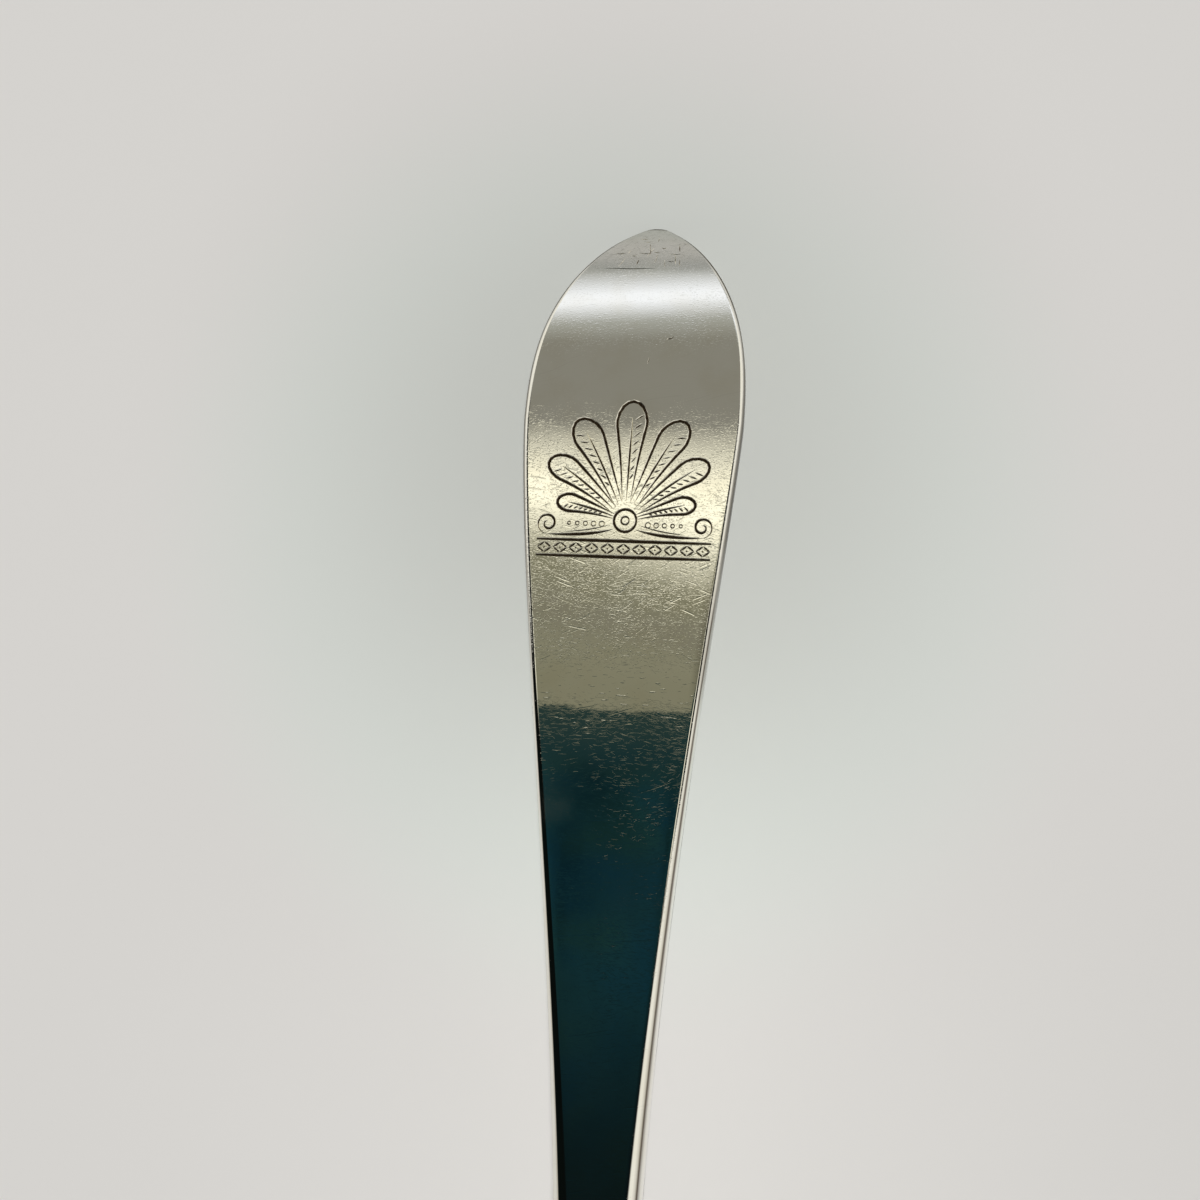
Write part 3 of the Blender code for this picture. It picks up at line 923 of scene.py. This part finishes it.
def bowl_tree(finish):
    tree, given = shape_tree("sunk_bowl", (), BOWL_SIZES)
    wall, deepest = given["Wall"], given["Deepest"]
    grid, grid_x, grid_y = grid_of(tree, 1.0, ROUND_STEPS + 1, UP_STEPS + 1)
    angle = (grid_x + 0.5) * (2 * pi)
    way = grid_y + 0.5
    climb = way.math("MINIMUM", 1.0 - way).math("MINIMUM", 0.5 - RIM_SHARE)
    share = (climb * (pi / 2 / (0.5 - RIM_SHARE))).math("SINE")
    over = way.mapped(0.5 - RIM_SHARE, 0.5 + RIM_SHARE, way="LINEAR") * pi
    turned_in = (1.0 - over.math("COSINE")) * 0.5 * wall
    crown = (over.math("SINE") - 1.0) * wall * RIM_CROWN
    cosine = angle.math("COSINE")
    along = (1.0 - cosine) * 0.5
    outline = angle.math("SINE") * (1.0 - given["Egg"] * cosine)
    rim_x = outline / WIDEST * (given["Width"] * 0.5 - turned_in)
    rim_y = along * (given["Length"] - turned_in * 2.0) + turned_in
    x = rim_x * share
    y = deepest + (rim_y - deepest) * share + front_y

    def curl_up(part):
        return 1.0 - (1.0 - (given["Curl"] * part) ** 2.0).math("SQRT")

    worn = curl_up(given["Flat"] / given["Length"])
    rise = ((curl_up(share) - worn) / (curl_up(1.0) - worn)).math("MAXIMUM", 0.0)
    rim_z = along**3.0 * (given["Heel Height"] - given["Rim Height"]) + given["Rim Height"] + crown
    z = turned_in + (rim_z - turned_in) * rise
    point = Step(tree, "ShaderNodeCombineXYZ", {"X": x, "Y": y, "Z": z})[0]
    shaped = Step(tree, "GeometryNodeSetPosition", {"Geometry": grid, "Position": point})[0]
    close_and_finish(shaped, BOWL_MERGE, finish)
    return tree


def grown(name, tree, sizes, start=None):
    """A plain mesh object from a Geometry Nodes tree; sizes are set by each socket's identifier."""
    holder = start or in_scene(name, bpy.data.meshes.new(name))
    modifier = holder.modifiers.new(tree.name, "NODES")
    modifier.node_group = tree
    for item in tree.interface.items_tree:
        if item.in_out == "INPUT" and item.name in sizes:
            modifier[item.identifier] = sizes[item.name]
    graph = bpy.context.evaluated_depsgraph_get()
    mesh = bpy.data.meshes.new_from_object(holder.evaluated_get(graph))
    holder.modifiers.clear()
    old = holder.data
    holder.data = mesh
    bpy.data.meshes.remove(old)
    mesh.name = name
    return holder


bowl = grown("silver_bowl", bowl_tree(polished_silver("bowl_polish")), BOWL_SIZES)
print("bowl:", len(bowl.data.polygons), "faces")

# %% [markdown]
# ## The engraved ornament
# The broad end carries an engraving: a fan of round lobes in the old Greek manner stands on a pair of
# scrolls, over a bar of lozenges. Each line was pushed out with a burin, a small steel tool with a V-shaped
# edge: pressed deeper, it cuts a wider line, and lifted at the end, it leaves a point. So each stroke is a
# path on the front with a width at every point, drawn by a short rule in millimetres from the ornament's
# middle.

# %% Strokes of the burin
ORNAMENT_FROM_TIP = 19.4 * MM
SWELL = 0.7  # power of the swelling: the lower, the fuller
strokes = []  # each a list of (across, along, half-width) in mm


def burin(path, width, steps, start=0.0, end=1.0, blunt=0.12):
    """One stroke along path(t), swelling to a half-width in its middle and pointed at its ends."""
    stroke = []
    for i in range(steps + 1):
        t = i / steps
        across, along = path(blend(start, end, t))
        stroke.append((across, along, width * blend(blunt, 1, sin(pi * t) ** SWELL)))
    strokes.append(stroke)


def ring(x, y, radius, width):
    def circle(t):
        return x + radius * cos(2 * pi * t), y + radius * sin(2 * pi * t)

    burin(circle, width, 20, blunt=0.8)


def line(start, end, width, steps, blunt=0.12):
    burin(lambda t: (blend(start[0], end[0], t), blend(start[1], end[1], t)), width, steps, blunt=blunt)


print("the ornament's middle is", round(ORNAMENT_FROM_TIP / MM, 1), "mm from the tip")

# %% Fan of lobes
FAN_FOOT = (0.0, -4.1)  # where the lobes of the fan meet
MIDDLE_LOBE = (0, 9.1, 1.15, 0)  # turn in degrees, length, half of the breadth, curl in degrees
SIDE_LOBES = ((25, 8.6, 1.1, 3), (48, 7.5, 0.95, 5), (71, 5.4, 0.66, 4))
LOBE_NECK, VEIN_END = 0.16, 0.86  # shares of a lobe's length
SHADE_START, SHADE_END, SHADES = 0.34, 0.84, 8
ROUND_START = 0.4  # share of the outline's stroke where the round end starts
NECK_BREADTH, FLARE = 0.22, 1.6  # share of a lobe's breadth, and power of its growth
ROUND_LENGTH = 1.5  # of the round end, in half-breadths
SHADE_NEAR, SHADE_REACH, SHADE_LEAN = 0.18, 0.6, 0.05
OUTLINE_CUT, VEIN_CUT, SHADE_CUT = 0.14, 0.1, 0.08  # half-widths
FOOT_RINGS = ((0.85, 0.13), (0.3, 0.09))  # radius, half-width


def lobe(turn, length, breadth, curl):
    """One lobe, round at its end: an outline in one stroke, a vein, and shading on its outer side."""
    side = -1 if turn < 0 else 1
    swell = 1 - ROUND_LENGTH * breadth / length

    def at(t, across):
        bend = radians(turn + curl * t * t)
        x, y = length * t * sin(bend), length * t * cos(bend)
        return FAN_FOOT[0] + x + across * cos(bend), FAN_FOOT[1] + y - across * sin(bend)

    def breadth_at(t):
        return breadth * (NECK_BREADTH + (1 - NECK_BREADTH) * (t / swell) ** FLARE)

    def outline(u):
        """From the neck up one side, round the end and down the other side."""
        way = min(u, 1 - u)
        hand = side if u < 0.5 else -side
        if way < ROUND_START:
            t = blend(LOBE_NECK, swell, way / ROUND_START)
            return at(t, hand * breadth_at(t))
        turn_round = pi / 2 * (way - ROUND_START) / (0.5 - ROUND_START)
        return at(blend(swell, 1, sin(turn_round)), hand * breadth * cos(turn_round))

    def shade(t, s):
        across = side * breadth_at(min(t, swell)) * (SHADE_NEAR + SHADE_REACH * s)
        return at(t + SHADE_LEAN * s, across)

    burin(outline, OUTLINE_CUT, 44)
    burin(lambda t: at(t, 0), VEIN_CUT, 12, LOBE_NECK, VEIN_END)
    for i in range(SHADES):
        t = blend(SHADE_START, SHADE_END, i / (SHADES - 1))
        burin(lambda s, t=t: shade(t, s), SHADE_CUT, 4)


for turn, length, breadth, curl in SIDE_LOBES:
    lobe(turn, length, breadth, curl)
    lobe(-turn, length, breadth, -curl)
lobe(*MIDDLE_LOBE)
for radius, width in FOOT_RINGS:
    ring(*FAN_FOOT, radius, width)
print("fan:", len(strokes), "strokes")

# %% Scrolls and bar of lozenges
SCROLL_EYE = (5.85, -4.45)
SCROLL_START, SCROLL_TURN = -90, 540  # degrees
SCROLL_SIZE, SCROLL_CORE, SCROLL_POWER = 0.72, 0.1, 0.8
STALK_START, STALK_BELOW, STALK_RISE = 0.85, 0.82, 0.5
SCROLL_CUT, STALK_CUT, HAIR_CUT = 0.12, 0.14, 0.06
PEARLS, PEARL_START, PEARL_PITCH, PEARL_HEIGHT = 5, 1.75, 0.62, -4.4
PEARL_RADIUS, PEARL_SHRINK, PEARL_CUT = 0.2, 0.02, 0.06
BAR_TOP, BAR_FOOT, BAR_HALF, BAR_CUT = -5.65, -6.85, 6.6, 0.15
LOZENGES, LOZENGE_SHARE, LOZENGE_HALF, LOZENGE_CUT = 11, 0.44, 0.38, 0.095
DOT_HALF, DOT_CUT = 0.1, 0.09


def scroll(side):
    """A scroll from the foot of the fan that winds up below its outer lobes, with pearls above its stalk."""

    def winding(t):
        turn = radians(SCROLL_START + SCROLL_TURN * t)
        size = SCROLL_SIZE * (1 - t) ** SCROLL_POWER + SCROLL_CORE
        return side * (SCROLL_EYE[0] + size * cos(turn)), SCROLL_EYE[1] + size * sin(turn)

    def stalk(t, lift=0.0):
        along = SCROLL_EYE[1] - STALK_BELOW + lift + STALK_RISE * (1 - t) ** 3
        return side * blend(STALK_START, SCROLL_EYE[0], t), along

    burin(winding, SCROLL_CUT, 34)
    burin(stalk, STALK_CUT, 14)
    burin(lambda t: stalk(t, 0.3 * (1 - t) + 0.12), HAIR_CUT, 12, 0.05, 0.75)
    for i in range(PEARLS):
        pearl = (side * (PEARL_START + PEARL_PITCH * i), PEARL_HEIGHT)
        ring(*pearl, PEARL_RADIUS - PEARL_SHRINK * i, PEARL_CUT)


scroll(1)
scroll(-1)
for height in (BAR_TOP, BAR_FOOT):
    line((-BAR_HALF, height), (BAR_HALF, height), BAR_CUT, 30, blunt=0.6)
pitch = 2 * BAR_HALF / LOZENGES
y = (BAR_TOP + BAR_FOOT) / 2
for i in range(LOZENGES):
    x = -BAR_HALF + pitch * (i + 0.5)
    reach = pitch * LOZENGE_SHARE
    corners = [(x - reach, y), (x, y + LOZENGE_HALF), (x + reach, y), (x, y - LOZENGE_HALF)]
    for start, end in zip(corners, corners[1:] + corners[:1]):
        line(start, end, LOZENGE_CUT, 4, blunt=0.3)
    line((x - DOT_HALF, y), (x + DOT_HALF, y), DOT_CUT, 2)
print("ornament:", len(strokes), "strokes,", sum(len(stroke) for stroke in strokes), "points")

# %% [markdown]
# Wear adds strokes that nobody meant. The handle rests on its tip, which is covered in small scratches,
# with a long one where the tip leaves the table, and a knife or two has nicked the front higher up. They
# are cut with the same burin, only finer, and a fixed seed keeps them where they are.

# %% Scratches at the tip and two nicks
TIP_MIDDLE = (ORNAMENT_FROM_TIP - 2.3 * MM) / MM
TIP_SCRATCHES = 22
PLACED_SCRATCHES = (  # across, along, length, turn in degrees, half-width
    (-1.6, TIP_MIDDLE - 1.45, 4.0, 1, 0.045),  # where the tip leaves the table
    (2.3, 10.0, 0.6, 20, 0.06),
    (0.8, 8.2, 0.5, 80, 0.04),
)
SHAKE, SHAKE_TURN = 0.02, 9
chance = random.Random(11)


def scratch(across, along, length, turn, width):
    x, y = length * cos(radians(turn)), length * sin(radians(turn))

    def shaky(t):
        return across + x * (t - 0.5), along + y * (t - 0.5) + SHAKE * sin(SHAKE_TURN * t)

    burin(shaky, width, 8)


for i in range(TIP_SCRATCHES):
    spot = chance.uniform(-2.6, 2.6), TIP_MIDDLE + chance.uniform(-1.0, 1.2)
    length, turn = chance.uniform(0.3, 1.0), chance.choice((0, 5, 80, 100, 60))
    scratch(*spot, length, turn, chance.uniform(0.03, 0.05))
for placed in PLACED_SCRATCHES:
    scratch(*placed)
print("with scratches:", len(strokes), "strokes")

# %% [markdown]
# The strokes become curves on the front, with each half-width as the curve's radius. A cut could be faked
# with bump, but light catches real walls differently, so the burin itself is swept: Geometry Nodes turns a
# V-shaped profile to face the metal, sweeps it along every stroke, scaled by the radius, and takes the
# result out of the stem with a Boolean. The same Boolean takes out the inside of the bowl, so that the foot
# ends within the bowl's wall.

# %% Curves for the strokes and the core of the bowl
CORE_INSET = 0.45 * MM  # from the outside of the bowl
CORE_RISE = 12 * MM  # above the rim
CORE_RINGS, CORE_STEPS = 24, 96

paths = bpy.data.curves.new("burin_paths", "CURVE")
paths.dimensions = "3D"
middle_y = front_start - ORNAMENT_FROM_TIP
for stroke in strokes:
    spline = paths.splines.new("POLY")
    spline.points.add(len(stroke) - 1)
    for point, (across, along, width) in zip(spline.points, stroke):
        y = middle_y + along * MM
        point.co = (across * MM, y, front_line(front_start - y)[0], 1.0)
        point.radius = width * MM
path_object = in_scene("burin_paths", paths)

flat_share = REST_FLAT_LENGTH / BOWL_LENGTH


def core_ring(share):
    """The egg at a share of the way from the deepest place to the rim, within the bowl's wall."""
    rise = (arc(share) - arc(flat_share)) / (1 - arc(flat_share))
    points = []
    for i in range(CORE_STEPS):
        angle = 2 * pi * i / CORE_STEPS
        along = (1 - cos(angle)) / 2
        x = egg(angle) / WIDEST * (BOWL_WIDTH / 2 - CORE_INSET)
        y = CORE_INSET + along * (BOWL_LENGTH - 2 * CORE_INSET)
        y = blend(DEEPEST_FROM_FRONT, y, share) + front_y
        z = blend(CORE_INSET, blend(RIM_HEIGHT, HEEL_HEIGHT, along**3), rise)
        points.append(Vector((x * share, y, z)))
    return points


climbs = [sin(pi / 2 * i / CORE_RINGS) for i in range(CORE_RINGS + 1)]
rings = [core_ring(blend(flat_share, 1, climb)) for climb in climbs]
rings.append([point + Vector((0, 0, CORE_RISE)) for point in rings[-1]])
core = skin("bowl_core", rings)
print("paths:", len(paths.splines), "core:", len(core.data.polygons), "faces")

# %% [markdown]
# Inside the cuts, polish and soot have settled over the years, blackest at the bottom of the V, while the
# upper walls stay bright. The scratches near the tip are shallower, and soot shows in them sooner. The cut
# finish comes in with the burin's mesh and stays on the walls that it leaves. How deep a wall lies is
# measured after the cut and read here as an attribute, in millimetres.

# %% Finish of the cuts
WALL_SILVER, SOOT = (0.93, 0.90, 0.80, 1), (0.11, 0.078, 0.048, 1)
SOOT_DEPTHS = (0.016, 0.06)  # mm, from clean to black
GRAIN, GRAIN_EDGES, UNEVEN = (2500.0, 3.0), (0.2, 0.8), 0.02  # UNEVEN in mm
TIP_SOOT, TIP_SOOT_Y = 0.02, (tip_y - 13 * MM, tip_y - 11 * MM)
CUT_ROUGHNESS = (0.12, 0.5)  # clean, black

cut_silver, tree, shader = new_finish("cut_silver", 1.0)
place = Step(tree, "ShaderNodeTexCoord")["Object"]
depth = Step(tree, "ShaderNodeAttribute", attribute_name="cut_depth")["Fac"]
uneven = noise(place, *GRAIN).mapped(*GRAIN_EDGES, -UNEVEN, UNEVEN)
sooner = axes_of(place)[1].mapped(*TIP_SOOT_Y, 0.0, TIP_SOOT)
soot = (depth + uneven + sooner).mapped(*SOOT_DEPTHS)
feed(shader, {"Base Color": mixed(soot, WALL_SILVER, SOOT)})
feed(shader, {"Roughness": soot.mapped(0.0, 1.0, *CUT_ROUGHNESS)})
print("cuts finished with", cut_silver.name)

# %% Burin tree: sweep the V and cut
STEEPNESS = 0.9  # depth of a cut, in half-widths
ABOVE = 0.8  # how far the burin stands above the metal, in half-widths
BED = 0.06  # half-width of the bed of the V


def shape_of(thing):
    """The mesh or the curves of an object that a tree is given."""
    inputs = {"Object": thing}
    return Step(thing.tree, "GeometryNodeObjectInfo", inputs, transform_space="RELATIVE")["Geometry"]


def burin_tree():
    tree, given = shape_tree("burin", ("Strokes", "Core"), ("Steepness",))
    steepness = given["Steepness"]
    nearest = {
        "Mesh": given["Geometry"],
        "Value": Step(tree, "GeometryNodeInputNormal")["Normal"],
        "Sample Position": Step(tree, "GeometryNodeInputPosition")[0],
    }
    facing = Step(tree, "GeometryNodeSampleNearestSurface", nearest, data_type="FLOAT_VECTOR")["Value"]
    lines = {"Curve": shape_of(given["Strokes"]), "Normal": facing}
    turned = Step(tree, "GeometryNodeSetCurveNormal", lines, mode="FREE")[0]
    spread = ABOVE / steepness + 1.0

    def corner(across, depth):
        return Step(tree, "ShaderNodeCombineXYZ", {"X": depth, "Y": across, "Z": 0.0})[0]

    corners = {
        "Point 1": corner(spread * -1.0, -ABOVE),
        "Point 2": corner(-BED, steepness),
        "Point 3": corner(BED, steepness),
        "Point 4": corner(spread, -ABOVE),
    }
    edge = Step(tree, "GeometryNodeCurvePrimitiveQuadrilateral", corners, mode="POINTS")[0]
    radius = Step(tree, "GeometryNodeInputRadius")[0]
    sweep = {"Curve": turned, "Profile Curve": edge, "Scale": radius, "Fill Caps": True}
    swept = Step(tree, "GeometryNodeCurveToMesh", sweep)[0]
    metal = {"Mesh 1": with_finish(given["Geometry"], stem_polish), "Self Intersection": True}
    cut = Step(tree, "GeometryNodeMeshBoolean", metal, operation="DIFFERENCE", solver="EXACT")
    feed(cut.node, {"Mesh 2": with_finish(shape_of(given["Core"]), stem_polish)})
    feed(cut.node, {"Mesh 2": with_finish(swept, cut_silver)})
    real = Step(tree, "GeometryNodeRealizeInstances", {"Geometry": cut["Mesh"]})[0]
    Step(tree, "NodeGroupOutput", {"Geometry": real})
    return tree


burin_inputs = {"Strokes": path_object, "Core": core, "Steepness": STEEPNESS}
stem = grown("silver_stem", burin_tree(), burin_inputs, start=stem)
for helper in (path_object, core):
    bpy.data.objects.remove(helper)
print("cut stem:", len(stem.data.polygons), "faces,", [m.name for m in stem.data.materials])

# %% [markdown]
# A mirror shows every error in the direction that a surface faces. The strokes have cut the flat front into
# odd pieces, so its normals are not left to an average over them: each corner on the front gets the
# direction that the rule of the front gives, and only the walls of the cuts and the rounded sides keep
# their own.

# %% Depth of the cuts and true normals on the front
SHARP = radians(28)
ALMOST = cos(radians(2.0))  # how nearly a face on the front faces as the rule says

mesh = stem.data
depths = []
for vertex in mesh.vertices:
    height, slope = front_line(front_start - vertex.co.y)
    depths.append(min(1, max(0, (height - vertex.co.z) / hypot(1, slope) / MM)))
mesh.attributes.new("cut_depth", "FLOAT", "POINT").data.foreach_set("value", depths)
mesh.shade_smooth()
mesh.set_sharp_from_angle(angle=SHARP)
normals = [Vector(corner.vector) for corner in mesh.corner_normals]
on_front = [face for face in mesh.polygons if face.normal.dot(front_normal(0, face.center.y)) > ALMOST]
for face in on_front:
    for loop in face.loop_indices:
        spot = mesh.vertices[mesh.loops[loop].vertex_index].co
        normals[loop] = front_normal(spot.x, spot.y)
print(len(on_front), "faces lie on the front, of", len(mesh.polygons))
mesh.normals_split_custom_set(normals)
in_cuts = [face for face in mesh.polygons if mesh.materials[face.material_index] == cut_silver]
print("the deepest cut is", round(max(depths[v] for face in in_cuts for v in face.vertices), 3), "mm")

# %% [markdown]
# ## The drop
# The drop is a thin tongue that lies on the back of the bowl. Geometry Nodes is good at following a
# surface: a grid with the tongue's outline is shot upwards on to the bowl, stays where it hits, and is then
# swelled outwards, full in the middle and falling to nothing at its edges. A second copy, sunk a little
# into the wall, closes it.

# %% Drop laid on the back of the bowl
DROP_COLUMNS, DROP_ROWS = 41, 61
END_ROUNDNESS = 3.5
FLAT_ACROSS, FLAT_ALONG = 4.0, 14.0  # powers: the higher, the flatter its middle and the steeper its edge
RAY_START, RAY_LENGTH = -0.02, 0.1
DROP_MERGE = 0.001 * MM
DROP_SIZES = {
    "Start": -31.2 * MM,
    "End": -42.2 * MM,
    "Width": 6.0 * MM,
    "Thickness": 0.85 * MM,
    "Sunk": 0.25 * MM,
}


def drop_tree(finish):
    tree, given = shape_tree("drop", ("Bowl",), DROP_SIZES)
    grid, grid_x, grid_y = grid_of(tree, 2.0, DROP_COLUMNS, DROP_ROWS)
    bunch = (grid_x * (pi / 2)).math("SINE")
    far = (grid_y * (pi / 2)).math("SINE")
    share = (1.0 - far) * 0.5
    x = bunch * (1.0 - share**END_ROUNDNESS) ** 0.5 * (given["Width"] * 0.5)
    y = given["Start"] + share * (given["End"] - given["Start"])
    ray = {
        "Target Geometry": shape_of(given["Bowl"]),
        "Source Position": Step(tree, "ShaderNodeCombineXYZ", {"X": x, "Y": y, "Z": RAY_START})[0],
        "Ray Direction": (0, 0, 1),
        "Ray Length": RAY_LENGTH,
    }
    hit = Step(tree, "GeometryNodeRaycast", ray)

    def flat(way, power):
        return (1.0 - way.math("ABSOLUTE") ** power).math("MAXIMUM", 0.0).math("SQRT")

    swell = flat(bunch, FLAT_ACROSS) * flat(far, FLAT_ALONG)

    def lifted(amount):
        scaled = {0: hit["Hit Normal"], "Scale": swell * amount}
        offset = Step(tree, "ShaderNodeVectorMath", scaled, operation="SCALE")[0]
        move = {"Geometry": grid, "Position": hit["Hit Position"], "Offset": offset}
        return Step(tree, "GeometryNodeSetPosition", move)[0]

    both = Step(tree, "GeometryNodeJoinGeometry")
    feed(both.node, {0: Step(tree, "GeometryNodeFlipFaces", {"Mesh": lifted(given["Thickness"])})[0]})
    feed(both.node, {0: lifted(given["Sunk"] * -1.0)})
    close_and_finish(both[0], DROP_MERGE, finish)
    return tree


drop_polish = polished_silver("drop_polish", rough=0.1)
drop = grown("silver_drop", drop_tree(drop_polish), {"Bowl": bowl, **DROP_SIZES})
print("drop:", len(drop.data.polygons), "faces")

# %% [markdown]
# ## Into the frame
# Each finished piece takes the place of its imported solid, which stays behind for physics, and rides on the
# one body.

# %% Pieces into the frame
for piece, node in ((bowl, "bowl"), (stem, "stem"), (drop, "drop")):
    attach(piece, "root")
    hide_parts(node)
